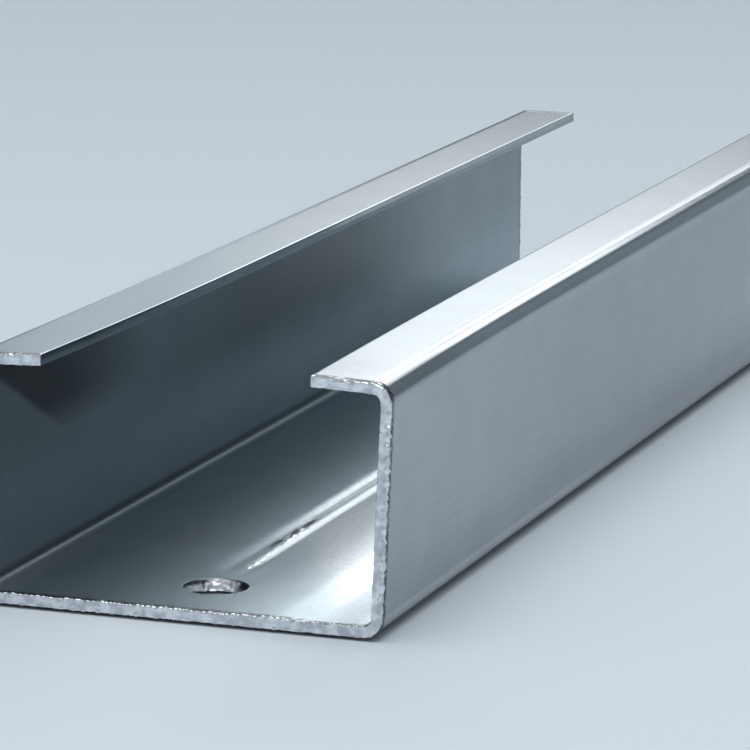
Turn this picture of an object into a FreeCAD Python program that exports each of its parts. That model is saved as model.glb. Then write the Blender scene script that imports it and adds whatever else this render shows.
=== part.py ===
import FreeCAD, Part
import math
import os

# Lipped steel channel, a short cut length lying on its web with both lips up.
# X runs across the web, Y along the length and Z up. The origin is at the middle of
# the underside. Millimetres throughout, angles in degrees.
# The drilled end faces -Y. There the cut has let the flanges spring apart a little.

# Section of the rolled strip
web_width = 75.0           # over the outer faces of the flanges
flange_height = 44.0       # underside of the web to the top of the lips
lip_depth = 14.5           # outer face of the flange to the lip's edge
sheet_thickness = 2.0      # steel with its zinc
inner_bend_radius = 1.5    # the same on all four bends

# Length, and the spring of the flanges at the drilled end
channel_length = 311.0
flare_angle = 2.1          # each flange leans out this much at the cut
flare_length = 100.0       # the lean has died out this far from the cut
flare_stations = 6         # sections that the leaning stretch is ruled between

# Punched hole in the web
hole_diameter = 11.5
hole_from_end = 17.5       # cut end to the hole's centre
hole_off_centre = 1.0      # towards +X from the web's centre line

# Groove rolled into the web's upper face, with a low ridge thrown up beside it
ridge_crest_x = 0.4        # the ridge's highest line, from the web's centre line
groove_depth = 0.3
groove_shoulder = 6.0      # width of the long slope down to the groove's lowest line
groove_rise = 1.0          # width of the short slope from there up to the crest
ridge_height = 0.2
ridge_fall = 2.5           # width of the slope from the crest back to the web
ridge_crown = 0.6          # share of the ridge's height that is left halfway down
shoulder_easing = 0.25     # share of the groove's depth reached halfway down
groove_gap = 0.6           # plain web between the hole's rim and the groove
run_out_length = 36.0      # the groove deepens from nothing to full over this
run_out_start = 0.1        # share of the full depth at the groove's very start

# Sizes that follow
outer_bend_radius = inner_bend_radius + sheet_thickness
flat_half_web = web_width / 2 - outer_bend_radius
flange_flat = flange_height - 2 * outer_bend_radius
lip_flat = lip_depth - outer_bend_radius
near_end = -channel_length / 2
far_end = channel_length / 2
flare_end = near_end + flare_length
hole_y = near_end + hole_from_end
groove_start = hole_y + hole_diameter / 2 + groove_gap
groove_full = groove_start + run_out_length
ridge_root = sheet_thickness / 2   # how far the ridge's body is sunk into the web
cutter_overlap = 1.0       # how far cutting bodies stand out of the sheet


def turned(length, angle):
    """Vector in the section's plane, its angle measured from +X towards +Z."""
    radians = math.radians(angle)
    return FreeCAD.Vector(length * math.cos(radians), 0, length * math.sin(radians))


def bend(centre, radius, start, end):
    """Circular edge about the centre, from one angle to the other."""
    middle = (start + end) / 2
    return Part.Arc(centre + turned(radius, start), centre + turned(radius, middle),
                    centre + turned(radius, end)).toShape()


def side_section(y, lean):
    """Closed outline of the +X bend, flange and lip at one station.

    The flange turns about the lower bend's centre, so the bend opens as it leans.
    """
    foot = FreeCAD.Vector(flat_half_web, y, outer_bend_radius)
    head = foot + turned(flange_flat, 90 - lean)
    along_lip = turned(lip_flat, 180 - lean)
    edges = []
    edges.append(bend(foot, outer_bend_radius, -90, -lean))
    edges.append(bend(head, outer_bend_radius, -lean, 90 - lean))
    edges.append(bend(head, inner_bend_radius, 90 - lean, -lean))
    edges.append(bend(foot, inner_bend_radius, -lean, -90))
    flange_outside = Part.makeLine(edges[0].lastVertex().Point, edges[1].firstVertex().Point)
    flange_inside = Part.makeLine(edges[2].lastVertex().Point, edges[3].firstVertex().Point)
    lip_top_start = edges[1].lastVertex().Point
    lip_bottom_start = edges[2].firstVertex().Point
    lip_top = Part.makeLine(lip_top_start, lip_top_start + along_lip)
    lip_edge = Part.makeLine(lip_top_start + along_lip, lip_bottom_start + along_lip)
    lip_bottom = Part.makeLine(lip_bottom_start + along_lip, lip_bottom_start)
    web_joint = Part.makeLine(edges[3].lastVertex().Point, edges[0].firstVertex().Point)
    return Part.Wire([edges[0], flange_outside, edges[1], lip_top, lip_edge,
                      lip_bottom, edges[2], flange_inside, edges[3], web_joint])


def flare_sections():
    """Sections of the leaning stretch, the lean fading smoothly to nothing."""
    sections = []
    for station in range(flare_stations):
        share = station / (flare_stations - 1)
        lean = flare_angle * (1 - share) ** 2
        sections.append(side_section(near_end + share * flare_length, lean))
    return sections


def channel_side():
    """One flange with its bends and lip, over the whole length."""
    leaning = Part.makeLoft(flare_sections(), True, True)
    straight = Part.Face(side_section(flare_end, 0))
    straight = straight.extrude(FreeCAD.Vector(0, far_end - flare_end, 0))
    return leaning.fuse(straight)


def groove_outline(y, share):
    """Hollow to be cut, at one station: a long slope, curved, and a short one."""
    bottom_x = ridge_crest_x - groove_rise
    top = sheet_thickness
    bottom = FreeCAD.Vector(bottom_x, y, top - share * groove_depth)
    shoulder = FreeCAD.Vector(bottom_x - groove_shoulder, y, top)
    shoulder_middle = FreeCAD.Vector(bottom_x - groove_shoulder / 2, y,
                                     top - share * groove_depth * shoulder_easing)
    crest = FreeCAD.Vector(ridge_crest_x, y, top + share * ridge_height)
    above = FreeCAD.Vector(0, 0, cutter_overlap)
    slope = Part.Arc(shoulder, shoulder_middle, bottom).toShape()
    return Part.Wire([slope, Part.makeLine(bottom, crest),
                      Part.makeLine(crest, crest + above),
                      Part.makeLine(crest + above, shoulder + above),
                      Part.makeLine(shoulder + above, shoulder)])


def ridge_outline(y, share):
    """Metal of the ridge at one station, sunk into the web so that it joins it."""
    bottom_x = ridge_crest_x - groove_rise
    top = sheet_thickness
    bottom = FreeCAD.Vector(bottom_x, y, top - share * groove_depth)
    crest = FreeCAD.Vector(ridge_crest_x, y, top + share * ridge_height)
    foot = FreeCAD.Vector(ridge_crest_x + ridge_fall, y, top)
    fall_middle = FreeCAD.Vector(ridge_crest_x + ridge_fall / 2, y,
                                 top + share * ridge_height * ridge_crown)
    below = FreeCAD.Vector(0, 0, -ridge_root)
    fall = Part.Arc(crest, fall_middle, foot).toShape()
    return Part.Wire([Part.makeLine(bottom, crest), fall,
                      Part.makeLine(foot, foot + below),
                      Part.makeLine(foot + below, bottom + below),
                      Part.makeLine(bottom + below, bottom)])


def along_groove(outline):
    """Body of one groove outline: a run-out from near nothing, then full depth."""
    run_out = Part.makeLoft([outline(groove_start, run_out_start),
                             outline(groove_full, 1)], True, True)
    full = Part.Face(outline(groove_full, 1))
    full = full.extrude(FreeCAD.Vector(0, far_end - groove_full, 0))
    return run_out.fuse(full)


def web():
    """Flat web between the lower bends, with its groove, ridge and hole."""
    corner = FreeCAD.Vector(-flat_half_web, near_end, 0)
    plate = Part.makeBox(2 * flat_half_web, channel_length, sheet_thickness, corner)
    plate = plate.fuse(along_groove(ridge_outline)).cut(along_groove(groove_outline))
    hole_foot = FreeCAD.Vector(hole_off_centre, hole_y, -cutter_overlap)
    punch = Part.makeCylinder(hole_diameter / 2, sheet_thickness + 2 * cutter_overlap, hole_foot)
    return plate.cut(punch)


def channel():
    """The whole piece of stock as one solid."""
    right = channel_side()
    left = right.mirror(FreeCAD.Vector(0, 0, 0), FreeCAD.Vector(1, 0, 0))
    return web().multiFuse([right, left]).removeSplitter()


os.makedirs("parts", exist_ok=True)
stock = channel().Solids[0]
stock.exportStep("parts/channel.step")
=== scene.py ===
import math

import bmesh
import bpy
import numpy as np
from mathutils import Matrix, Vector, noise


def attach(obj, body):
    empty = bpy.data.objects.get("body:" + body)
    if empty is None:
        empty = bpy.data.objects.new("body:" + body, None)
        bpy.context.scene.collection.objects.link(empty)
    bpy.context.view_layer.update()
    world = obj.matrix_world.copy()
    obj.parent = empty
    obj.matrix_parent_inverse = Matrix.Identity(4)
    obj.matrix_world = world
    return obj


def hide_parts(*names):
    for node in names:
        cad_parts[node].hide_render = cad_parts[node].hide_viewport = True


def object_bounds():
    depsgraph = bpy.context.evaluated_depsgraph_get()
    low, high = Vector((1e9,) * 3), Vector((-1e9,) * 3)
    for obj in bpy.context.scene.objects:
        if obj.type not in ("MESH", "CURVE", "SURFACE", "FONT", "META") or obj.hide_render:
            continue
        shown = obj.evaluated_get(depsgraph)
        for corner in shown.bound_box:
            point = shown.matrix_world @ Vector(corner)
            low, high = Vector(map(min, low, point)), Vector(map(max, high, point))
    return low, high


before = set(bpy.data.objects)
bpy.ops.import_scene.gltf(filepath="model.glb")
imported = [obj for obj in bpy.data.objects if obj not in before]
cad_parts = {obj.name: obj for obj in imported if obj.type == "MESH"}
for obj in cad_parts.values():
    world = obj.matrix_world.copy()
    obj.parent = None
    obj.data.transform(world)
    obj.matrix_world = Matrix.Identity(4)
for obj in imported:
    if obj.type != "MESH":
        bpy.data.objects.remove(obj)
cadLow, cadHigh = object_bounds()
print("frame loaded")

mm = 0.001  # sizes are written in millimetres and used in metres
tiny = 0.01 * mm  # closer than this is the same place


# selecting by place, and reading and writing a mesh's points

def deselectAll():
    if bpy.context.mode != "OBJECT":
        bpy.ops.object.mode_set(mode="OBJECT")
    bpy.ops.object.select_all(action="DESELECT")


def makeActive(obj):
    deselectAll()
    obj.select_set(True)
    bpy.context.view_layer.objects.active = obj


def startEditing(obj, selectMode):
    makeActive(obj)
    bpy.ops.object.mode_set(mode="EDIT")
    bpy.ops.mesh.select_mode(type=selectMode)
    bpy.ops.mesh.select_all(action="DESELECT")


def stopEditing():
    bpy.ops.object.mode_set(mode="OBJECT")


def pickEdges(obj, wanted):
    bpy.ops.mesh.select_mode(type="EDGE")
    bpy.ops.mesh.select_all(action="DESELECT")
    mesh = bmesh.from_edit_mesh(obj.data)
    for edge in mesh.edges:
        if wanted(edge):
            edge.select_set(True)
    bmesh.update_edit_mesh(obj.data)


def pickFaces(obj, wanted):
    bpy.ops.mesh.select_mode(type="FACE")
    bpy.ops.mesh.select_all(action="DESELECT")
    mesh = bmesh.from_edit_mesh(obj.data)
    for face in mesh.faces:
        if wanted(face):
            face.select_set(True)
    bmesh.update_edit_mesh(obj.data)


def applyModifier(obj, kind, **settings):
    makeActive(obj)
    modifier = obj.modifiers.new(kind.lower(), kind)
    for name, value in settings.items():
        setattr(modifier, name, value)
    bpy.ops.object.modifier_apply(modifier=modifier.name)


def readPoints(obj):
    points = np.empty(len(obj.data.vertices) * 3)
    obj.data.vertices.foreach_get("co", points)
    return points.reshape(-1, 3)


def writePoints(obj, points):
    obj.data.vertices.foreach_set("co", points.ravel())
    obj.data.update()


def readNormals(obj):
    normals = np.empty(len(obj.data.vertices) * 3)
    obj.data.vertices.foreach_get("normal", normals)
    return normals.reshape(-1, 3)


def readCentres(obj):
    centres = np.empty(len(obj.data.polygons) * 3)
    obj.data.polygons.foreach_get("center", centres)
    return centres.reshape(-1, 3)


def addAttribute(obj, name, values):
    # adds to what the attribute already holds
    attribute = obj.data.attributes.get(name)
    if not attribute:
        attribute = obj.data.attributes.new(name, "FLOAT", "POINT")
    held = np.empty(len(obj.data.vertices))
    attribute.data.foreach_get("value", held)
    attribute.data.foreach_set("value", held + values)


def softRise(value, none, full):
    # 0 up to the first place, 1 from the second on; the first may be the larger
    share = np.clip((value - none) / (full - none), 0, 1)
    return share * share * (3 - 2 * share)


def softBand(value, start, full, fading, end):
    # up from 0 to 1 between the first two places, down again between the last two
    return softRise(value, start, full) * softRise(value, end, fading)


def noiseAt(points, lump, seed):
    # soft noise from -1 to 1, its lumps this far across
    shift = Vector((seed * 3.7, seed * 1.9, seed * 5.3))
    scale = 1 / lump
    return np.array([noise.noise(Vector(point) * scale + shift) for point in points])


# the bent sheet: its section drawn flat at the drilled end, then pulled along

sheet = {
    "webWidth": 75.0 * mm,
    "flangeHeight": 44.0 * mm,
    "lipDepth": 14.5 * mm,
    "thickness": 2.0 * mm,
    "innerBend": 1.5 * mm,
    "flareAngle": math.radians(2.1),    # lean of each flange at the drilled end
    "flareLength": 100.0 * mm,
    "columnWidth": 0.5 * mm,            # spacing of the mesh round the section
    "grooveColumn": 0.25 * mm,          # closer across the groove
    "grooveZone": (-8.0 * mm, 4.0 * mm),
    "bendSteps": 12,
    "layers": 4,                        # divisions of the thickness
    "endInset": 0.2 * mm,               # room for the zinc beads inside the CAD length
    "endSpacing": [0.5, 0.5, 0.5, 0.5, 0.6, 0.8, 1.2, 2.0],   # mm, from the cut inwards
    "middleSpacing": 12.0 * mm,
    "sharpAngle": math.radians(60),     # edges sharper than this are eased
    "edgeBevel": 0.15 * mm,
    "smoothAngle": math.radians(50),    # and from this on the shading keeps them
    "fineZone": 1.5 * mm,               # the mesh is halved this far from the drilled end
    "finestZone": 0.8 * mm,             # and again along the edges that zinc froze on
    "finestDepth": 0.95 * mm,
    "webBeads": 1.0 * mm,               # the web's beads go this far into the bends
    "skin": 0.1 * mm,                   # points this near one side of the sheet belong to it
}
outerBend = sheet["innerBend"] + sheet["thickness"]
halfFlatWeb = sheet["webWidth"] / 2 - outerBend
flangeFlat = sheet["flangeHeight"] - 2 * outerBend
lipFlat = sheet["lipDepth"] - outerBend
nearCut = cadLow.y + sheet["endInset"]
farCut = cadHigh.y - sheet["endInset"]


def pullRung(direction, length):
    steps = round(length / sheet["columnWidth"])
    move = Vector(direction) * (length / steps)
    for step in range(steps):
        bpy.ops.mesh.extrude_region_move(TRANSFORM_OT_translate={"value": move})


def drawSide(obj, side):
    edgeX = sheet["grooveZone"][1] if side > 0 else sheet["grooveZone"][0]
    pickEdges(obj, lambda e: all(abs(v.co.x - edgeX) < tiny for v in e.verts))
    pullRung((side, 0, 0), halfFlatWeb - abs(edgeX))
    foot = Vector((side * halfFlatWeb, nearCut, outerBend))
    head = foot + Vector((0, 0, flangeFlat))
    bend = {"steps": sheet["bendSteps"], "angle": side * math.pi / 2, "axis": (0, 1, 0)}
    bpy.ops.mesh.spin(center=foot, **bend)
    pullRung((0, 0, 1), flangeFlat)
    bpy.ops.mesh.spin(center=head, **bend)
    pullRung((-side, 0, 0), lipFlat)


def cutStations():
    ends = [spacing * mm for spacing in sheet["endSpacing"]]
    middle = farCut - nearCut - 2 * sum(ends)
    count = round(middle / sheet["middleSpacing"])
    steps = ends + [middle / count] * count + ends[::-1]
    return nearCut + np.concatenate([[0], np.cumsum(steps)])


def drawSheet():
    bpy.ops.mesh.primitive_plane_add(size=1, location=(0, 0, 0))
    obj = bpy.context.object
    obj.name = "channelSheet"
    startEditing(obj, "EDGE")
    bpy.ops.mesh.select_all(action="SELECT")
    left, right = sheet["grooveZone"]
    thickness = sheet["thickness"]
    origin = (0, 0, 0)
    bpy.ops.transform.rotate(value=math.pi / 2, orient_axis="X", center_override=origin)
    bpy.ops.transform.resize(value=(right - left, 1, thickness), center_override=origin)
    bpy.ops.transform.translate(value=((left + right) / 2, nearCut, thickness / 2))
    drawSide(obj, 1)
    drawSide(obj, -1)
    # the groove's zone has been one face until now, with the only long edges
    pickEdges(obj, lambda e: e.calc_length() > 1.1 * thickness)
    bpy.ops.mesh.subdivide(number_cuts=round((right - left) / sheet["grooveColumn"]) - 1)
    # then all edges through the thickness are divided
    pickEdges(obj, lambda e: e.calc_length() > 0.9 * thickness)
    bpy.ops.mesh.subdivide(number_cuts=sheet["layers"] - 1)
    # pulled to full length in one go, then cut across
    stations = cutStations()
    bpy.ops.mesh.select_mode(type="FACE")
    bpy.ops.mesh.select_all(action="SELECT")
    bpy.ops.mesh.extrude_region_move(TRANSFORM_OT_translate={"value": (0, farCut - nearCut, 0)})
    pickEdges(obj, lambda e: e.calc_length() > halfFlatWeb)
    bpy.ops.mesh.subdivide(number_cuts=len(stations) - 2)
    bpy.ops.mesh.select_all(action="SELECT")
    bpy.ops.mesh.normals_make_consistent(inside=False)
    stopEditing()
    # the cross cuts crowd towards both ends
    points = readPoints(obj)
    share = (points[:, 1] - nearCut) / (farCut - nearCut)
    points[:, 1] = stations[np.rint(share * (len(stations) - 1)).astype(int)]
    writePoints(obj, points)
    return obj


def easeEdges(obj):
    # the cut outlines and the lips' long edges, where two faces meet squarely
    startEditing(obj, "EDGE")
    pickEdges(obj, lambda e: e.calc_face_angle(0) > sheet["sharpAngle"])
    bpy.ops.mesh.bevel(offset=sheet["edgeBevel"], segments=2, affect="EDGES")
    stopEditing()


def sectionPlace(points):
    # how far round the section a point is from the web's middle, and how deep from the inside
    x, z = np.abs(points[:, 0]), points[:, 2]
    inner = sheet["innerBend"]
    middle = inner + sheet["thickness"] / 2
    flangeStart = halfFlatWeb + middle * math.pi / 2
    flangeEnd = flangeStart + flangeFlat
    dx = x - halfFlatWeb
    low, high = z - outerBend, z - outerBend - flangeFlat
    regions = [(dx > 0) & (low <= 0), (low > 0) & (high <= 0), (high > 0) & (dx > 0), high > 0]
    around = np.select(regions, [
        halfFlatWeb + middle * np.arctan2(dx, -low),
        flangeStart + low,
        flangeEnd + middle * np.arctan2(high, dx),
        flangeEnd + middle * math.pi / 2 - dx,
    ], x)
    deep = np.select(regions, [
        np.hypot(dx, low) - inner,
        dx - inner,
        np.hypot(dx, high) - inner,
        high - inner,
    ], sheet["thickness"] - z)
    return around * np.sign(points[:, 0]), deep


def refineFaces(obj, flags):
    # halves the faces that are flagged
    chosen = set(np.flatnonzero(flags).tolist())
    startEditing(obj, "FACE")
    pickFaces(obj, lambda f: f.index in chosen)
    bpy.ops.mesh.subdivide(number_cuts=1)
    stopEditing()


def refineCut(obj):
    refineFaces(obj, readCentres(obj)[:, 1] < nearCut + sheet["fineZone"])
    centres = readCentres(obj)
    around, deep = sectionPlace(centres)
    fromOutside = sheet["thickness"] - deep
    onWeb = np.abs(around) < halfFlatWeb + sheet["webBeads"]
    beaded = np.where(onWeb, deep, fromOutside) < sheet["finestDepth"]
    refineFaces(obj, beaded & (centres[:, 1] < nearCut + sheet["finestZone"]))


# patches of the sheet with more cross cuts, along measured from the drilled end
patches = [
    {"across": (-7 * mm, 4 * mm), "along": (9 * mm, 30 * mm),       # round the hole
     "upwards": (1 * mm, 3 * mm), "spacing": 1 * mm},
    {"across": (-1.8 * mm, 3 * mm), "along": (30 * mm, 80 * mm),    # the groove's rough part
     "upwards": (1 * mm, 3 * mm), "spacing": 0.3 * mm},
    {"across": (-36.5 * mm, -34.5 * mm), "along": (4 * mm, 45 * mm),    # the left flange's inside
     "upwards": (18 * mm, 41 * mm), "spacing": 2 * mm},
]
# the strip of the web's upper face that is halved again
roughStrip = {"across": (-1.1 * mm, 1.9 * mm), "along": (31.5 * mm, 74 * mm)}


def cutAcross(obj, across, along, upwards, spacing):
    startEditing(obj, "EDGE")

    def inPatch(edge):
        # only edges along the channel, and those that are still much too long
        one, two = edge.verts[0].co, edge.verts[1].co
        if abs(one.x - two.x) > tiny or abs(one.y - two.y) < 4 * spacing:
            return False
        place = (one + two) / 2
        place.y -= cadLow.y
        reaches = zip(place, (across, along, upwards))
        return all(low < value < high for value, (low, high) in reaches)

    pickEdges(obj, inPatch)
    bpy.ops.mesh.subdivide(number_cuts=round(sheet["middleSpacing"] / spacing) - 1)
    stopEditing()


def refineStrip(obj):
    x, y, z = readCentres(obj).T
    left, right = roughStrip["across"]
    near, far = roughStrip["along"]
    across = (x > left) & (x < right)
    along = (y - cadLow.y > near) & (y - cadLow.y < far)
    refineFaces(obj, across & along & (z > 0.9 * sheet["thickness"]))


# the groove in the web, with the ridge thrown up beside it

groove = {
    "start": 23.85 * mm,            # from the drilled end
    "startSoft": 3.0 * mm,          # it sets in over this length before that
    "startShare": 0.12,             # with this share of its depth
    "runOut": 20.0 * mm,            # and reaches the rest over this
    # over this stretch each pair of sizes below goes from its first to its second
    "deepening": (35 * mm, 95 * mm),
    "leftLift": (0.10 * mm, 0.2 * mm),
    "leftWidth": 26 * mm,           # the web swells over this width up to the groove
    "bottomX": (-1.0 * mm, -0.7 * mm),
    "shoulder": (4.6 * mm, 3.2 * mm),   # width of the slope down to the bottom
    "bottom": (-0.16 * mm, -0.2 * mm),
    "crestX": (0.35 * mm, 0.2 * mm),    # a faint crest, then a second slope down
    "crest": (-0.16 * mm, -0.26 * mm),
    "fall": (2.3 * mm, 2.3 * mm),
    "foot": (-0.40 * mm, -0.52 * mm),
    "rightWidth": 14 * mm,          # and the web comes back up over this
    # a wave on the web's right from the cut on: places across, and its slope there in degrees
    "wavePlaces": (5.0 * mm, 10.0 * mm, 17.4 * mm, 19.4 * mm,
                   24.4 * mm, 27.0 * mm, 30.6 * mm, 34.0 * mm),
    "waveSlopes": (0, 0.6, 0.6, -2.5, -2.6, 0.2, 2.6, 0),
    "waveSteps": 200,
    "waveFade": 3.0 * mm,           # it dies out this far before the bend
    # dragged zinc: places along and across where it starts, is full, fades and ends
    "roughAlong": (44 * mm, 52 * mm, 68 * mm, 73 * mm),
    "lumpAcross": (-0.9 * mm, -0.4 * mm, 0.7 * mm, 1.3 * mm),
    "lumpHeight": 0.07 * mm,
    "lumpSize": 0.8 * mm,
    "lumpStretch": (1, 0.6, 1),     # less than 1 draws the lumps out that way
    # and the dark line torn beside it
    "tornAcross": (-1.1 * mm, -0.8 * mm, -0.05 * mm, 0.35 * mm),
    "tornSize": 1.4 * mm,
    "tornStretch": (1, 0.5, 1),
    "tornLevel": (-0.1, 0.2),       # of the noise, where the line goes from bright to dark
    # dark gouge: its middle across and along, half its width and half its length
    "gouge": (-0.35 * mm, 68.5 * mm, 0.65 * mm, 3.6 * mm),
    "gougeDepth": 0.15 * mm,
    "gougeReach": 1.5,              # in times its half sizes, as the next two are
    "gougeShade": (1.1, 0.75),
    "gougeSlope": (1.2, 0.2),
    "gougeRagged": 0.35,
    "gougeGrain": 0.7 * mm,
    # low crumbs of zinc: place across and along, half width
    "crumbs": [
        (1.42 * mm, 36.3 * mm, 0.5 * mm), (1.44 * mm, 32.7 * mm, 0.36 * mm),
        (1.3 * mm, 39.8 * mm, 0.4 * mm), (1.0 * mm, 43.4 * mm, 0.36 * mm),
        (0.6 * mm, 55.2 * mm, 0.42 * mm), (0.4 * mm, 58.6 * mm, 0.46 * mm),
        (0.7 * mm, 61.2 * mm, 0.4 * mm), (0.1 * mm, 63.6 * mm, 0.42 * mm),
    ],
    "crumbLength": 2.6,             # in times its width
    "crumbHeight": 0.28,
    "crumbCap": 0.8,                # share of its half width that has the cut zinc's finish
}


def grooveProfile(x, fromEnd):
    share = softRise(fromEnd, *groove["deepening"])

    def between(name):
        first, second = groove[name]
        return first + (second - first) * share

    # heights joined one after the other by soft steps
    lift, bottom, crest, foot = (between(name) for name in ("leftLift", "bottom", "crest", "foot"))
    bottomX, crestX = between("bottomX"), between("crestX")
    shoulder = between("shoulder")
    top = bottomX - shoulder
    footX = crestX + between("fall")
    height = lift * softRise(x, top - groove["leftWidth"], top)
    slope = np.clip((x - top) / shoulder, 0, 1)
    height += (bottom - lift) * slope ** 3 * (4 - 3 * slope)
    height += (crest - bottom) * softRise(x, bottomX, crestX)
    height += (foot - crest) * softRise(x, crestX, footX)
    height -= foot * softRise(x, footX, footX + groove["rightWidth"])
    return height


def waveProfile(x):
    # the slopes added up across the web
    places = groove["wavePlaces"]
    across = np.linspace(places[0], places[-1], groove["waveSteps"])
    slopes = np.tan(np.radians(np.interp(across, places, groove["waveSlopes"])))
    height = np.cumsum(slopes) * (across[1] - across[0])
    fade = softRise(x, halfFlatWeb, halfFlatWeb - groove["waveFade"])
    return np.interp(x, across, height, left=0) * fade


def rollGroove(obj):
    points = readPoints(obj)
    x, y, z = points.T
    fromEnd = y - cadLow.y
    start, startShare = groove["start"], groove["startShare"]
    depth = startShare + (1 - startShare) * softRise(fromEnd, start, start + groove["runOut"])
    depth *= softRise(fromEnd, start - groove["startSoft"], start)
    # the web's upper face moves fully and its underside stays
    inWeb = np.clip(z / sheet["thickness"], 0, 1) * (z < 1.01 * sheet["thickness"])
    points[:, 2] += inWeb * (depth * grooveProfile(x, fromEnd) + waveProfile(x))
    writePoints(obj, points)


def roughenGroove(obj):
    # lumps of dragged zinc beside a torn dark line, a gouge at their end, and crumbs
    points, normals = readPoints(obj), readNormals(obj)
    x, y, z = points.T
    fromEnd = y - cadLow.y
    top = z > sheet["thickness"] / 2
    along = softBand(fromEnd, *groove["roughAlong"]) * top
    lumpy = along * softBand(x, *groove["lumpAcross"])
    near = np.flatnonzero(lumpy > 0)
    lumps = noiseAt(points[near] * groove["lumpStretch"], groove["lumpSize"], seed=3)
    offset = np.zeros(len(points))
    offset[near] = groove["lumpHeight"] * lumpy[near] * lumps
    dark = np.zeros(len(points))
    line = along * softBand(x, *groove["tornAcross"])
    torn = noiseAt(points[near] * groove["tornStretch"], groove["tornSize"], seed=7)
    dark[near] = line[near] * softRise(torn, *groove["tornLevel"])
    gougeX, gougeY, halfWidth, halfLength = groove["gouge"]
    apart = np.hypot((x - gougeX) / halfWidth, (fromEnd - gougeY) / halfLength)
    close = np.flatnonzero((apart < groove["gougeReach"]) & top)
    grain = noiseAt(points[close], groove["gougeGrain"], seed=9)
    ragged = apart[close] + groove["gougeRagged"] * grain
    dark[close] = np.maximum(dark[close], softRise(ragged, *groove["gougeShade"]))
    offset[close] -= groove["gougeDepth"] * softRise(ragged, *groove["gougeSlope"])
    for crumbX, crumbY, radius in groove["crumbs"]:
        square = (x - crumbX) ** 2 + ((fromEnd - crumbY) / groove["crumbLength"]) ** 2
        offset += groove["crumbHeight"] * radius * np.clip(1 - square / radius ** 2, 0, 1) * top
    writePoints(obj, points + normals * offset[:, None])
    addAttribute(obj, "darkZincAndShade", dark)


# painted highlights on the web, along measured from the drilled end: the first place of a
# pair has nothing of it and the second all, and where there are four the last two end it
webHighlights = {
    "fallAcross": (0.3 * mm, 1.0 * mm, 2.0 * mm, 2.9 * mm),     # the groove's right slope
    "fallAlong": (31 * mm, 37 * mm),
    "slopeAcross": (-3.4 * mm, -1.9 * mm, -0.3 * mm, 0.3 * mm),     # and its left one
    "slopeShine": 0.75,
    # a corner by the right bend: its left edge slants from the first place towards the second
    "cornerEdge": (22.5 * mm, 4 * mm),
    "cornerStart": 20 * mm,
    "cornerSlant": 0.45,
    "cornerSoft": 6 * mm,
    "cornerAlong": (150 * mm, 100 * mm),
    "cornerLoss": 0.45,             # it loses this share towards the bend
    "cornerFade": (24 * mm, 28 * mm),
    "wedgeAcross": (-28 * mm, -34 * mm),    # beside the left bend near the cut
    "wedgeAlong": (70 * mm, 20 * mm),
    "wedgeShine": 0.7,
    "bendAcross": (-33.6 * mm, -34.1 * mm),     # and the foot of that bend, up to this height
    "bendHeight": 2.6 * mm,
    "bendShine": 0.25,
}


def paintWebHighlights(obj):
    # paints highlights into the colour of the web's upper face
    points = readPoints(obj)
    x, y, z = points.T
    fromEnd = y - cadLow.y
    fall = softBand(x, *webHighlights["fallAcross"]) * softRise(fromEnd, *webHighlights["fallAlong"])
    slope = softBand(x, *webHighlights["slopeAcross"]) * softRise(fromEnd, *groove["deepening"])
    widest, narrowest = webHighlights["cornerEdge"]
    edge = widest - webHighlights["cornerSlant"] * (fromEnd - webHighlights["cornerStart"])
    edge = np.maximum(edge, narrowest)
    corner = softRise(x, edge - webHighlights["cornerSoft"], edge + webHighlights["cornerSoft"])
    corner *= softRise(fromEnd, *webHighlights["cornerAlong"])
    corner *= 1 - webHighlights["cornerLoss"] * softRise(x, *webHighlights["cornerFade"])
    wedge = softRise(x, *webHighlights["wedgeAcross"]) * softRise(fromEnd, *webHighlights["wedgeAlong"])
    bend = softRise(x, *webHighlights["bendAcross"]) * (z < webHighlights["bendHeight"])
    bright = np.maximum(np.maximum(fall, webHighlights["slopeShine"] * slope), corner)
    bright = np.maximum(bright, webHighlights["wedgeShine"] * wedge)
    bright = np.maximum(bright, webHighlights["bendShine"] * bend)
    # only the upper face, not the underside or the lips
    upper = (z > sheet["thickness"] / 2) & (z < 2 * sheet["thickness"])
    addAttribute(obj, "paintedHighlight", bright * upper)


# the punched hole

hole = {
    "diameter": 11.5 * mm,
    "fromEnd": 17.5 * mm,
    "offCentre": 1.0 * mm,
    "segments": 132,
    "rimRadius": 0.14 * mm,     # the rim is drawn in by the punch
    "rimSteps": 3,
    "wallSteps": 8,
    "near": 0.05 * mm,          # points this far beyond the rim still belong to it
    "tear": 1.05 * mm,          # how far the torn zinc stands into the hole at its foot
    "tearDepth": 0.5 * mm,      # below the upper face it sets in over this
    "tearAngle": (68, 43),      # degrees from the side away from the cut: none of it, all of it
    "lumps": 0.22 * mm,
    "lumpSize": 0.8 * mm,
    "lumpShare": 0.3,           # all lumps stand in by this share more
    "crumbs": 0.12 * mm,
    "crumbSize": 0.5 * mm,
    "shadeAngle": (24, 38, 96, 116),   # painted shade on both sides of the wall starts, is full, fades and ends
    "shadeDepth": (1.05 * mm, 1.6 * mm),   # how far down it goes, left and right
    "shadeSoft": (0.25 * mm, 0.5 * mm),    # and its upper and lower fading
    "rimShade": 0.75,
    "rimShare": 0.8,            # how much of the rim's radius is painted dark
    "wallShare": 0.5,           # and how much has the wall's finish
}


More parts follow.
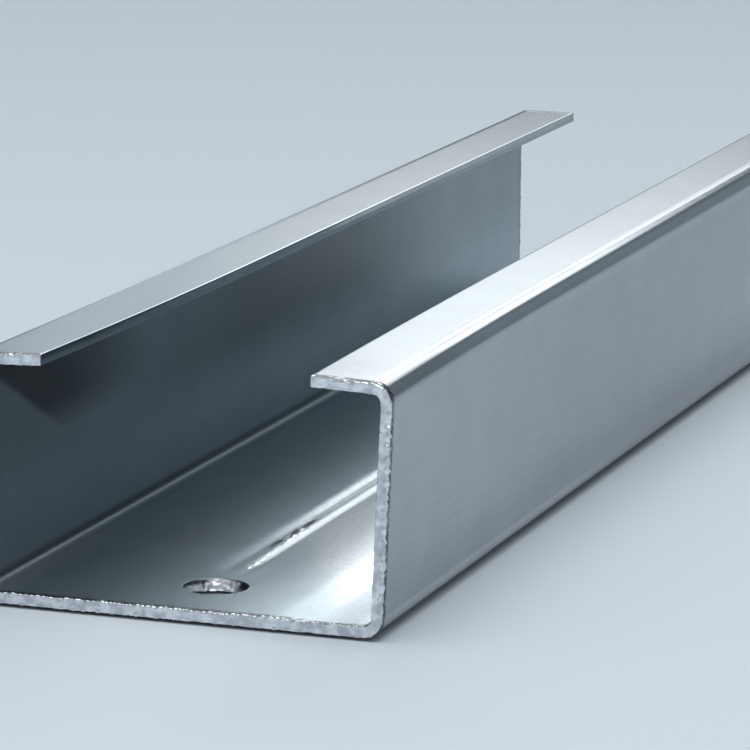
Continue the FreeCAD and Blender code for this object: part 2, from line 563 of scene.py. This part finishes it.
def punchHole(obj):
    centre = Vector((hole["offCentre"], cadLow.y + hole["fromEnd"], 0))
    radius = hole["diameter"] / 2
    thickness = sheet["thickness"]
    rim = hole["rimRadius"]
    deselectAll()
    bpy.ops.mesh.primitive_circle_add(vertices=hole["segments"], radius=radius, fill_type="NGON",
                                      location=centre - Vector((0, 0, thickness / 2)))
    punch = bpy.context.object
    startEditing(punch, "FACE")
    bpy.ops.mesh.select_all(action="SELECT")
    bpy.ops.mesh.extrude_region_move(TRANSFORM_OT_translate={"value": (0, 0, thickness / 2)})
    for step in range(hole["wallSteps"]):
        move = (thickness - rim) / hole["wallSteps"]
        bpy.ops.mesh.extrude_region_move(TRANSFORM_OT_translate={"value": (0, 0, move)})
    # a quarter round flares out to the web's upper face
    for step in range(hole["rimSteps"]):
        before, after = (math.pi / 2 * (step + k) / hole["rimSteps"] for k in (0, 1))
        lift = rim * (math.sin(after) - math.sin(before))
        wider = (radius + rim * (1 - math.cos(after))) / (radius + rim * (1 - math.cos(before)))
        bpy.ops.mesh.extrude_region_move(TRANSFORM_OT_translate={"value": (0, 0, lift)})
        bpy.ops.transform.resize(value=(wider, wider, 1), center_override=centre)
    bpy.ops.mesh.extrude_region_move(TRANSFORM_OT_translate={"value": (0, 0, thickness)})
    bpy.ops.mesh.select_all(action="SELECT")
    bpy.ops.mesh.normals_make_consistent(inside=False)
    stopEditing()
    applyModifier(obj, "BOOLEAN", operation="DIFFERENCE", object=punch, solver="EXACT")
    bpy.data.objects.remove(punch)


def roughenHole(obj):
    # the punch tears the wall: lumps of zinc at its middle, and painted shade on the wall to both
    # sides
    points = readPoints(obj)
    centre = np.array([hole["offCentre"], cadLow.y + hole["fromEnd"]])
    away = points[:, :2] - centre
    distance = np.hypot(*away.T)
    radius, rimRadius = hole["diameter"] / 2, hole["rimRadius"]
    near = np.flatnonzero(distance < radius + rimRadius + hole["near"])
    away, distance = away[near], distance[near]
    below = sheet["thickness"] - points[near, 2]
    inside = softRise(below, 0, hole["tearDepth"])
    turned = np.abs(np.degrees(np.arctan2(away[:, 0], away[:, 1])))
    lumps = hole["lumpShare"] + noiseAt(points[near], hole["lumpSize"], seed=4)
    crumbs = noiseAt(points[near], hole["crumbSize"], seed=5)
    torn = hole["tear"] * np.clip(below / sheet["thickness"], 0, 1)
    torn += hole["lumps"] * inside * lumps
    torn = torn * softRise(turned, *hole["tearAngle"]) + hole["crumbs"] * inside * crumbs
    points[near, :2] -= away / distance[:, None] * torn[:, None]
    writePoints(obj, points)
    # painted shade on the wall to both sides and on most of the rim
    leftDepth, rightDepth = hole["shadeDepth"]
    upperSoft, lowerSoft = hole["shadeSoft"]
    deepest = np.where(away[:, 0] < 0, leftDepth, rightDepth)
    sideShade = softBand(turned, *hole["shadeAngle"])
    sideShade *= softBand(below, 0, upperSoft, deepest - lowerSoft, deepest)
    # painted shade darkens the rim except at its near right, which stays bright
    rim = (distance < radius + hole["rimShare"] * rimRadius) & (below < rimRadius + hole["near"])
    shaded = (away[:, 1] > 0) | (away[:, 0] < 0)
    dark = np.zeros(len(points))
    dark[near] = np.maximum(sideShade, hole["rimShade"] * rim * shaded)
    addAttribute(obj, "darkZincAndShade", dark)


# zinc that ran to the cut edges and froze there

zinc = {
    "seed": 11,
    "reach": 1.2 * mm,          # how far from a cut the roughness goes
    "farthest": 1.5 * mm,       # beyond this nothing changes
    "cutDepth": 0.3 * mm,       # faces this near have the cut's finish
    "cutRelief": 0.05 * mm,     # unevenness of the cut faces
    "cutLump": 1.3 * mm,
    "edgeRelief": 0.10 * mm,
    "edgeLump": 0.6 * mm,
    "edgeWidth": 0.7 * mm,
    "sideTilt": 0.6,            # points that face an end less than this are on the sides
    "ridgePlace": 1.2 * mm,     # a thin ridge of zinc stands behind the edge
    "ridgeWidth": 0.35 * mm,
    "ridgeHeight": 0.05 * mm,
    "ridgeShare": 0.6,          # of its height, before the noise
    "ridgeLump": 2 * mm,
    "linePlace": 0.75 * mm,     # and a dark line lies between the two
    "lineWidth": 1.3 * mm,
    "lineEnd": 89.5 * mm,       # round the section
    "lineCover": 0.85,          # before the noise, which breaks it up
    "lineBreaks": 1.2,
    "lineLump": 0.9 * mm,
    "nearLine": 0.9,            # its darkness by the drilled end
    "farLine": 0.2,
    "cleanHeight": 0.12 * mm,   # beads this high stay out of it
    "beadHeight": (0.4, 0.65),  # in times the radius
    "pitShare": 0.05,           # of the beads, those that are nicks instead
    "pitDepth": 0.6,            # in times a bead's height
    # stretches of the section's outline, in mm from the web's middle and round the section,
    # how deep in the sheet their beads lie, with the beads' gaps and radii
    "chains": [
        {"from": 78.6, "to": 86.2, "depth": (1.25, 1.55),
         "gap": (0.5, 0.8), "radius": (0.45, 0.62)},
        {"from": 74.5, "to": 78.6, "depth": (1.45, 1.6),
         "gap": (0.22, 0.36), "radius": (0.38, 0.5)},
        {"from": 38.0, "to": 74.5, "depth": (1.4, 1.85),
         "gap": (0.5, 1.5), "radius": (0.42, 0.8)},
        {"from": 38.0, "to": 89.0, "depth": (0.0, 0.3),
         "gap": (3.0, 9.0), "radius": (0.25, 0.4)},
        {"from": 0.0, "to": 33.0, "depth": (0.15, 0.55),
         "gap": (0.5, 1.4), "radius": (0.4, 0.75)},
        {"from": 0.0, "to": 37.0, "depth": (1.75, 2.25),
         "gap": (1.5, 5.0), "radius": (0.3, 0.6)},
    ],
}


def dropBeads(random):
    # one row for each bead: place round the section, depth, radius and height
    beads = []
    for side in (1, -1):
        for chain in zinc["chains"]:
            along = chain["from"] + random.uniform(*chain["gap"]) * random.random()
            while along < chain["to"]:
                radius = random.uniform(*chain["radius"])
                height = radius * random.uniform(*zinc["beadHeight"])
                if random.random() < zinc["pitShare"]:
                    height = -zinc["pitDepth"] * height
                beads.append([side * along, random.uniform(*chain["depth"]), radius, height])
                along += random.uniform(*chain["gap"])
    return np.array(beads) * mm


def freezeZinc(obj, cutY, random, darkness):
    points, normals = readPoints(obj), readNormals(obj)
    around, deep = sectionPlace(points)
    fromCut = np.abs(points[:, 1] - cutY)
    near = np.flatnonzero(fromCut < zinc["farthest"])
    around, deep, fromCut = around[near], deep[near], fromCut[near]
    place, normals = points[near], normals[near]
    offset = np.zeros(len(near))
    for along, depth, radius, height in dropBeads(random):
        apart = (around - along) ** 2 + (deep - depth) ** 2 + fromCut ** 2
        offset += height * np.clip(1 - apart / radius ** 2, 0, 1) ** 2
    fade = softRise(fromCut, zinc["reach"], 0)
    toEdge = np.minimum(np.abs(deep), np.abs(sheet["thickness"] - deep))
    atEdge = fade * softRise(toEdge, zinc["edgeWidth"], 0)
    offset += zinc["cutRelief"] * fade * noiseAt(place, zinc["cutLump"], seed=1)
    offset += zinc["edgeRelief"] * atEdge * noiseAt(place, zinc["edgeLump"], seed=2)
    onSide = np.abs(normals[:, 1]) < zinc["sideTilt"]
    ridge = softRise(np.abs(fromCut - zinc["ridgePlace"]), zinc["ridgeWidth"], 0)
    ridge *= zinc["ridgeShare"] + noiseAt(place, zinc["ridgeLump"], seed=6)
    offset += zinc["ridgeHeight"] * ridge * onSide
    toLine = np.abs(fromCut - zinc["linePlace"])
    line = softRise(toLine, zinc["lineWidth"], zinc["lineWidth"] / 3)
    cover = zinc["lineCover"] + zinc["lineBreaks"] * noiseAt(place, zinc["lineLump"], seed=8)
    line *= softRise(cover, 0, 1) * onSide
    line *= softRise(offset, zinc["cleanHeight"], 0) * (np.abs(around) < zinc["lineEnd"])
    line *= darkness
    points[near] += normals * offset[:, None]
    writePoints(obj, points)
    dark = np.zeros(len(points))
    dark[near] = line
    addAttribute(obj, "darkZincAndShade", dark)


# painted shade inside, high on the flanges, with places as in the web's painted highlights
underLips = {
    "shade": (0.25, 0.4),               # everywhere, and so much more further in
    "shadeAlong": (60 * mm, 140 * mm),
    "loss": 0.6,                        # further still it loses this share
    "lossAlong": (190 * mm, 260 * mm),
    "shadeHeight": (12 * mm, 26 * mm),
    # the darkest painted shadow is by the cut, its lower edge slanting down from a height at a
    # place
    "patchShade": 0.9,
    "patchEdge": 35 * mm,
    "patchStart": 12 * mm,
    "patchSlant": 0.53,
    "patchSoft": 2.5 * mm,
    "patchHeight": (19 * mm, 30 * mm),
    "patchAlong": (105 * mm, 30 * mm),
    # and a line of painted shade runs along the lower bend
    "lineShade": 0.75,
    "lineHeight": (2.4 * mm, 2.9 * mm, 3.2 * mm, 4.6 * mm),
}


def paintShadeUnderLips(obj):
    # paints shade into the colour of the flanges' inner side
    points = readPoints(obj)
    around, deep = sectionPlace(points)
    height, fromEnd = points[:, 2], points[:, 1] - cadLow.y
    least, more = underLips["shade"]
    dark = least + more * softRise(fromEnd, *underLips["shadeAlong"])
    dark *= 1 - underLips["loss"] * softRise(fromEnd, *underLips["lossAlong"])
    dark *= softRise(height, *underLips["shadeHeight"])
    slanted = height + underLips["patchSlant"] * (fromEnd - underLips["patchStart"])
    edge = underLips["patchEdge"]
    patch = softRise(slanted, edge, edge + underLips["patchSoft"])
    patch *= softRise(height, *underLips["patchHeight"])
    patch *= softRise(fromEnd, *underLips["patchAlong"])
    dark = np.maximum(dark, underLips["patchShade"] * patch)
    dark = np.maximum(dark, underLips["lineShade"] * softBand(height, *underLips["lineHeight"]))
    inside = (deep < sheet["skin"]) & (np.abs(around) > halfFlatWeb)
    addAttribute(obj, "darkZincAndShade", dark * inside)


# painted shade and painted highlight on the outer side, around measured round the section
outside = {
    "footShade": 0.3,                   # painted shade along the lower bends
    "footHeight": (3.4 * mm, 2.4 * mm),
    "flangeShade": 0.2,                 # painted shade on the flanges away from the drilled end
    "flangeHeight": (3 * mm, 7 * mm, 39 * mm, 41 * mm),
    "flangeAlong": (20 * mm, 140 * mm),
    "bendShade": (0.08, 0.28),          # painted shade on the right bend, and so much more by the drilled end
    "bendAround": (74.9 * mm, 75.9 * mm, 78.5 * mm, 79.5 * mm),
    "bendAlong": (50 * mm, 25 * mm),
    "lipShade": 0.16,                   # painted shade on the right lip by the drilled end
    "lipAround": 78.9 * mm,
    "lipAlong": (24 * mm, 8 * mm),
    "lipHighlight": 0.15,                # and a painted highlight on it beyond
    "lipHighlightAround": 79.5 * mm,
    "lipHighlightAlong": (15 * mm, 30 * mm, 110 * mm, 170 * mm),
}


def paintOutsideLight(obj):
    # paints shade and a highlight into the outer side's colour
    points = readPoints(obj)
    around, deep = sectionPlace(points)
    height, fromEnd = points[:, 2], points[:, 1] - cadLow.y
    onSkin = deep > sheet["thickness"] - sheet["skin"]
    foot = outside["footShade"] * softRise(height, *outside["footHeight"])
    foot *= np.abs(around) > halfFlatWeb
    flange = outside["flangeShade"] * softBand(height, *outside["flangeHeight"])
    flange *= softRise(fromEnd, *outside["flangeAlong"])
    least, more = outside["bendShade"]
    bend = least + more * softRise(fromEnd, *outside["bendAlong"])
    bend *= softBand(around, *outside["bendAround"])
    lip = outside["lipShade"] * softRise(fromEnd, *outside["lipAlong"])
    lip *= around > outside["lipAround"]
    dark = np.maximum(np.maximum(foot, flange), np.maximum(bend, lip))
    addAttribute(obj, "darkZincAndShade", dark * onSkin)
    highlighted = outside["lipHighlight"] * softBand(fromEnd, *outside["lipHighlightAlong"])
    highlighted *= around > outside["lipHighlightAround"]
    addAttribute(obj, "paintedHighlight", highlighted * onSkin)


def springFlanges(obj):
    points = readPoints(obj)
    x, y, z = points.T
    share = np.clip(1 - (y - cadLow.y) / sheet["flareLength"], 0, 1)
    # a point in the lower bend takes its share of the lean, one past it all of it
    dx = np.abs(x) - halfFlatWeb
    dz = z - outerBend
    inBend = np.clip(np.arctan2(dx, -dz) / (math.pi / 2), 0, 1)
    angle = sheet["flareAngle"] * share ** 2 * np.where(dz > 0, 1, inBend * (dx > 0))
    points[:, 0] = np.sign(x) * (halfFlatWeb + dx * np.cos(angle) + dz * np.sin(angle))
    points[:, 2] = outerBend + dz * np.cos(angle) - dx * np.sin(angle)
    writePoints(obj, points)


# materials

def newMaterial(name):
    material = bpy.data.materials.new(name)
    material.use_nodes = True
    nodes = material.node_tree.nodes
    nodes.clear()
    output = nodes.new("ShaderNodeOutputMaterial")
    shader = nodes.new("ShaderNodeBsdfPrincipled")
    material.node_tree.links.new(shader.outputs["BSDF"], output.inputs["Surface"])
    return material, shader


def addMath(tree, operation, *values):
    node = tree.nodes.new("ShaderNodeMath")
    node.operation = operation
    for index, value in enumerate(values):
        if isinstance(value, (int, float)):
            node.inputs[index].default_value = value
        else:
            tree.links.new(value, node.inputs[index])
    return node.outputs[0]


def addRamp(tree, value, low, high, first=0.0, last=1.0):
    # from first to last, softly, while the value goes from low to high
    node = tree.nodes.new("ShaderNodeMapRange")
    node.interpolation_type = "SMOOTHSTEP"
    tree.links.new(value, node.inputs["Value"])
    node.inputs["From Min"].default_value = low
    node.inputs["From Max"].default_value = high
    node.inputs["To Min"].default_value = first
    node.inputs["To Max"].default_value = last
    return node.outputs["Result"]


def addNoise(tree, lump, detail=2.0, stretch=1.0):
    # noise with lumps of this size in metres, drawn out along the channel
    place = tree.nodes.new("ShaderNodeTexCoord")
    mapping = tree.nodes.new("ShaderNodeMapping")
    mapping.inputs["Scale"].default_value = (1, 1 / stretch, 1)
    tree.links.new(place.outputs["Object"], mapping.inputs["Vector"])
    texture = tree.nodes.new("ShaderNodeTexNoise")
    texture.inputs["Scale"].default_value = 1 / lump
    texture.inputs["Detail"].default_value = detail
    tree.links.new(mapping.outputs["Vector"], texture.inputs["Vector"])
    return texture.outputs["Fac"]


def addTint(tree, factor, first, last):
    # from the first colour to the last with the factor
    node = tree.nodes.new("ShaderNodeMix")
    node.data_type = "RGBA"
    colours = [socket for socket in node.inputs if socket.type == "RGBA"]
    for socket, colour in zip(colours, (first, last)):
        if isinstance(colour, tuple):
            socket.default_value = colour
        else:
            tree.links.new(colour, socket)
    tree.links.new(factor, node.inputs["Factor"])
    return [socket for socket in node.outputs if socket.type == "RGBA"][0]


def addBump(tree, height, distance):
    node = tree.nodes.new("ShaderNodeBump")
    node.inputs["Distance"].default_value = distance
    node.inputs["Strength"].default_value = 1.0
    tree.links.new(height, node.inputs["Height"])
    return node.outputs["Normal"]


def addAttributeNode(tree, name):
    node = tree.nodes.new("ShaderNodeAttribute")
    node.attribute_name = name
    return node.outputs["Fac"]


def addSpecks(tree, spacing, radius):
    # small dots strewn about this far apart, soft from half their radius on
    place = tree.nodes.new("ShaderNodeTexCoord")
    texture = tree.nodes.new("ShaderNodeTexVoronoi")
    texture.inputs["Scale"].default_value = 1 / spacing
    tree.links.new(place.outputs["Object"], texture.inputs["Vector"])
    return addRamp(tree, texture.outputs["Distance"], radius / spacing, 0.5 * radius / spacing)


# what the zinc of both sides has alike, lumps and streaks by their size
skins = {
    "clouds": 14 * mm,
    "streak": 0.6 * mm,
    "streakLength": 60,         # in times its width
    "streakShare": 0.6,         # against the clouds
    "mottle": 0.6 * mm,
    "mottleShare": 0.7,
    "spread": (0.85, 1.45),     # of the three added up, from dark to light
    "highlightGrain": 0.8 * mm,            # grains where the painted highlight shows first
    "highlightLevel": (0.38, 0.6),    # of their noise, and their brightness from there to there
    "highlightShine": (0.62, 1.2),
    "grain": 0.16 * mm,
    "grainLevel": (0.32, 0.62),     # of its noise, from smooth to dull
    "peel": 1.1 * mm,           # orange peel
    # dark zinc and painted shade, which are also duller
    "darkAndShade": (0.06, 0.066, 0.072, 1),
    "darkAndShadeDull": 0.5,
    "speck": (0.9, 0.93, 0.95, 1),
}
# the strip's outer side is burnished by the rolls, its inner side is duller; their base colours
# are also set apart as painted light and shade for the light each side gets
outerSkin = {
    "dark": (0.300, 0.323, 0.347, 1),
    "light": (0.342, 0.368, 0.394, 1),
    # the painted highlight's colour
    "bright": (0.6, 0.64, 0.68, 1),
    "smooth": 0.06,             # roughness of the shiny grains
    "dull": 0.15,
    "peelDepth": 0.0008 * mm,
    "speckSpacing": 9 * mm,
    "speckRadius": 0.14 * mm,
}
innerSkin = {
    "dark": (0.335, 0.393, 0.437, 1),
    "light": (0.377, 0.443, 0.492, 1),
    # the painted highlight's colour
    "bright": (0.60, 0.625, 0.65, 1),
    "smooth": 0.28,
    "dull": 0.46,
    "peelDepth": 0.011 * mm,
    "speckSpacing": 6 * mm,
    "speckRadius": 0.16 * mm,
}


def makeSkin(name, skin):
    material, shader = newMaterial(name)
    tree = material.node_tree
    shader.inputs["Metallic"].default_value = 1.0
    clouds = addNoise(tree, skins["clouds"], detail=3)
    streaks = addNoise(tree, skins["streak"], stretch=skins["streakLength"])
    mottle = addNoise(tree, skins["mottle"], detail=1)
    shade = addMath(tree, "ADD", clouds, addMath(tree, "MULTIPLY", streaks, skins["streakShare"]))
    shade = addMath(tree, "ADD", shade, addMath(tree, "MULTIPLY", mottle, skins["mottleShare"]))
    colour = addTint(tree, addRamp(tree, shade, *skins["spread"]), skin["dark"], skin["light"])
    specks = addSpecks(tree, skin["speckSpacing"], skin["speckRadius"])
    colour = addTint(tree, specks, colour, skins["speck"])
    # the painted highlight, broken up into grains
    highlightGrain = addNoise(tree, skins["highlightGrain"])
    highlighted = addRamp(tree, highlightGrain, *skins["highlightLevel"], *skins["highlightShine"])
    highlighted = addMath(tree, "MULTIPLY", addAttributeNode(tree, "paintedHighlight"), highlighted)
    colour = addTint(tree, highlighted, colour, skin["bright"])
    # dark zinc, and painted shade from the same attribute
    dark = addAttributeNode(tree, "darkZincAndShade")
    tree.links.new(addTint(tree, dark, colour, skins["darkAndShade"]), shader.inputs["Base Color"])
    grain = addNoise(tree, skins["grain"], detail=0)
    patchy = addRamp(tree, grain, *skins["grainLevel"], skin["smooth"], skin["dull"])
    dull = addMath(tree, "MULTIPLY", dark, skins["darkAndShadeDull"])
    tree.links.new(addMath(tree, "MAXIMUM", patchy, dull), shader.inputs["Roughness"])
    peel = addBump(tree, addNoise(tree, skins["peel"], detail=1), skin["peelDepth"])
    tree.links.new(peel, shader.inputs["Normal"])
    return material


cutZinc = {
    "dark": (0.63, 0.655, 0.705, 1),
    "light": (0.86, 0.88, 0.92, 1),
    # dark marks, and the painted shade in the hole
    "pitAndShade": (0.1, 0.11, 0.12, 1),
    "smooth": 0.26,
    "dull": 0.5,
    "lump": 1.8 * mm,
    "lumpLevel": (0.35, 0.65),      # of its noise, from dark and dull to light and smooth
    "grain": 0.5 * mm,
    "relief": 0.015 * mm,
}


def makeCutZinc():
    material, shader = newMaterial("cutZinc")
    tree = material.node_tree
    shader.inputs["Metallic"].default_value = 1.0
    lumps = addNoise(tree, cutZinc["lump"])
    shade = addRamp(tree, lumps, *cutZinc["lumpLevel"])
    colour = addTint(tree, shade, cutZinc["dark"], cutZinc["light"])
    # dark marks and painted shade
    colour = addTint(tree, addAttributeNode(tree, "darkZincAndShade"), colour, cutZinc["pitAndShade"])
    tree.links.new(colour, shader.inputs["Base Color"])
    rough = addRamp(tree, lumps, *cutZinc["lumpLevel"], cutZinc["dull"], cutZinc["smooth"])
    tree.links.new(rough, shader.inputs["Roughness"])
    relief = addBump(tree, addNoise(tree, cutZinc["grain"]), cutZinc["relief"])
    tree.links.new(relief, shader.inputs["Normal"])
    return material


def paintSheet(obj):
    # slots 0 and 1 are the outer and the inner side, 2 the hole's wall, the cuts and the crumbs
    obj.data.materials.append(makeSkin("outerSkin", outerSkin))
    obj.data.materials.append(makeSkin("innerSkin", innerSkin))
    obj.data.materials.append(makeCutZinc())
    centres = readCentres(obj)
    deep = sectionPlace(centres)[1]
    x, y, z = centres.T
    fromEnd = y - cadLow.y
    fromCut = np.minimum(y - nearCut, farCut - y)
    toHole = np.hypot(x - hole["offCentre"], fromEnd - hole["fromEnd"])
    wall = hole["diameter"] / 2 + hole["wallShare"] * hole["rimRadius"]
    bare = (fromCut < zinc["cutDepth"]) | (toHole < wall)
    for crumbX, crumbY, radius in groove["crumbs"]:
        toCrumb = np.hypot(x - crumbX, (fromEnd - crumbY) / groove["crumbLength"])
        bare |= toCrumb < groove["crumbCap"] * radius
    slots = np.where(bare, 2, np.where(deep < sheet["thickness"] / 2, 1, 0))
    obj.data.polygons.foreach_set("material_index", slots)


channel = drawSheet()
print("sheet drawn", len(channel.data.polygons))
easeEdges(channel)
refineCut(channel)
for patch in patches:
    cutAcross(channel, **patch)
refineStrip(channel)
punchHole(channel)
print("hole punched", len(channel.data.polygons))
rollGroove(channel)
roughenGroove(channel)
roughenHole(channel)
paintWebHighlights(channel)
random = np.random.default_rng(zinc["seed"])
freezeZinc(channel, nearCut, random, zinc["nearLine"])
freezeZinc(channel, farCut, random, zinc["farLine"])
paintShadeUnderLips(channel)
paintOutsideLight(channel)
paintSheet(channel)
springFlanges(channel)
writePoints(channel, np.clip(readPoints(channel), np.array(cadLow), np.array(cadHigh)))
makeActive(channel)
bpy.ops.object.shade_smooth_by_angle(angle=sheet["smoothAngle"])
applyModifier(channel, "WEIGHTED_NORMAL", keep_sharp=True)
print("zinc frozen", len(channel.data.polygons))

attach(channel, "root")
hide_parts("channel")


# floor, lights and camera

stage = {
    "floorSize": 20.0,          # metres
    "floorDrop": 0.6 * mm,      # the channel lies on the burrs of its cut edges
    "floorColour": (0.76, 0.815, 0.875, 1),
    "floorRoughness": 0.6,
}


def layFloor():
    deselectAll()
    bpy.ops.mesh.primitive_plane_add(size=stage["floorSize"], location=(0, 0, -stage["floorDrop"]))
    floor = bpy.context.object
    floor.name = "floor"
    material, shader = newMaterial("paleFloor")
    shader.inputs["Base Color"].default_value = stage["floorColour"]
    shader.inputs["Roughness"].default_value = stage["floorRoughness"]
    shader.inputs["Specular IOR Level"].default_value = 0.0
    floor.data.materials.append(material)


lights = {
    "skyColour": (0.133, 0.163, 0.170),
    # from one azimuth and elevation to the other in degrees, azimuth from +Y towards +X, each
    # fading out over soft and rise to both sides of its edges
    "glows": [
        {"name": "window", "azimuth": (-26.6, -3.0), "soft": 17.5, "elevation": (20.3, 27.4),
         "rise": 3.3, "light": (6.32, 6.32, 6.37)},
        {"name": "windowFrame", "azimuth": (-20.3, -13.0), "soft": 2.6, "elevation": (12.4, 41.3),
         "rise": 2.2, "light": (1.52, 1.57, 1.60)},
        {"name": "farWall", "azimuth": (8.4, 22.2), "soft": 5.8, "elevation": (-10.0, 45.2),
         "rise": 4.5, "light": (0.19, 0.233, 0.275)},
        {"name": "lowStrip", "azimuth": (-23.6, -22.2), "soft": 3.4, "elevation": (-1.4, 14.0),
         "rise": 2.6, "light": (1.30, 1.49, 1.66)},
        {"name": "sill", "azimuth": (-20.4, -2.0), "soft": 2.3, "elevation": (9.25, 11.6),
         "rise": 1.5, "light": (1.58, 1.68, 1.71)},
        {"name": "transom", "azimuth": (-19.0, -6.5), "soft": 1.8, "elevation": (13.1, 18.0),
         "rise": 1.2, "light": (1.86, 1.96, 2.03)},
        {"name": "middleWindow", "azimuth": (-6.0, 7.0), "soft": 2.5, "elevation": (18.6, 23.0),
         "rise": 1.5, "light": (2.3, 2.35, 2.38)},
        {"name": "highWindow", "azimuth": (-16.2, 8.0), "soft": 5.6, "elevation": (29.8, 43.0),
         "rise": 4.4, "light": (4.35, 4.75, 4.72)},
        {"name": "ceiling", "azimuth": (-200.0, 200.0), "soft": 15.0, "elevation": (54.0, 100.0),
         "rise": 7.0, "light": (0.27, 0.28, 0.29)},
        {"name": "roomLeft", "azimuth": (-260.0, -75.0), "soft": 15.0, "elevation": (4.0, 60.0),
         "rise": 8.0, "light": (0.22, 0.23, 0.24)},
        {"name": "roomRight", "azimuth": (75.0, 260.0), "soft": 15.0, "elevation": (4.0, 60.0),
         "rise": 8.0, "light": (0.22, 0.23, 0.24)},
    ],
    "overheadPower": 11.4,      # watts
    "overheadSize": 1.6,        # metres, as its place is
    "overheadPlace": (0.1, -0.5, 1.5),
}


def makeSky():
    world = bpy.data.worlds.new("studio")
    bpy.context.scene.world = world
    world.use_nodes = True
    tree = world.node_tree
    tree.nodes.clear()
    output = tree.nodes.new("ShaderNodeOutputWorld")
    sky = tree.nodes.new("ShaderNodeBackground")
    tree.links.new(sky.outputs[0], output.inputs["Surface"])
    place = tree.nodes.new("ShaderNodeTexCoord")
    axes = tree.nodes.new("ShaderNodeSeparateXYZ")
    tree.links.new(place.outputs["Generated"], axes.inputs[0])
    azimuth = addMath(tree, "ARCTAN2", axes.outputs["X"], axes.outputs["Y"])
    azimuth = addMath(tree, "DEGREES", azimuth)
    elevation = addMath(tree, "DEGREES", addMath(tree, "ARCSINE", axes.outputs["Z"]))
    total = None
    for glow in lights["glows"]:
        left, right = glow["azimuth"]
        low, high = glow["elevation"]
        soft, rise = glow["soft"], glow["rise"]
        fromLeft = addRamp(tree, azimuth, left - soft, left + soft)
        fromRight = addRamp(tree, azimuth, right + soft, right - soft)
        fromBelow = addRamp(tree, elevation, low - rise, low + rise)
        fromAbove = addRamp(tree, elevation, high + rise, high - rise)
        across = addMath(tree, "MULTIPLY", fromLeft, fromRight)
        upwards = addMath(tree, "MULTIPLY", fromBelow, fromAbove)
        light = tree.nodes.new("ShaderNodeVectorMath")
        light.operation = "SCALE"
        light.label = glow["name"]
        light.inputs[0].default_value = glow["light"]
        tree.links.new(addMath(tree, "MULTIPLY", across, upwards), light.inputs["Scale"])
        both = tree.nodes.new("ShaderNodeVectorMath")
        if total is None:
            both.inputs[0].default_value = lights["skyColour"]
        else:
            tree.links.new(total, both.inputs[0])
        tree.links.new(light.outputs["Vector"], both.inputs[1])
        total = both.outputs["Vector"]
    tree.links.new(total, sky.inputs["Color"])


def hangLamp():
    lamp = bpy.data.lights.new("overhead", "AREA")
    lamp.shape = "DISK"
    lamp.size = lights["overheadSize"]
    lamp.energy = lights["overheadPower"]
    obj = bpy.data.objects.new("overhead", lamp)
    obj.location = lights["overheadPlace"]
    bpy.context.scene.collection.objects.link(obj)


view = {
    "place": (285.2 * mm, -879.6 * mm, 201.2 * mm),
    "yaw": 18.996,       # degrees, to the left of +Y
    "pitch": 11.501,     # degrees below level
    "roll": 0.505,
    "lens": 225.8,       # in mm, as the sensor is
    "sensor": 36,
    "clip": (0.05, 100),     # nearest and farthest that is seen, in metres
}


def setCamera():
    camera = bpy.data.cameras.new("camera")
    camera.lens = view["lens"]
    camera.sensor_width = view["sensor"]
    camera.clip_start, camera.clip_end = view["clip"]
    obj = bpy.data.objects.new("camera", camera)
    turn = Matrix.Rotation(math.radians(view["yaw"]), 4, "Z")
    turn @= Matrix.Rotation(math.radians(90 - view["pitch"]), 4, "X")
    turn @= Matrix.Rotation(math.radians(view["roll"]), 4, "Z")
    obj.matrix_world = Matrix.Translation(view["place"]) @ turn
    bpy.context.scene.collection.objects.link(obj)
    bpy.context.scene.camera = obj


layFloor()
makeSky()
hangLamp()
setCamera()
bpy.context.scene.view_settings.view_transform = "Standard"
print("stage set")
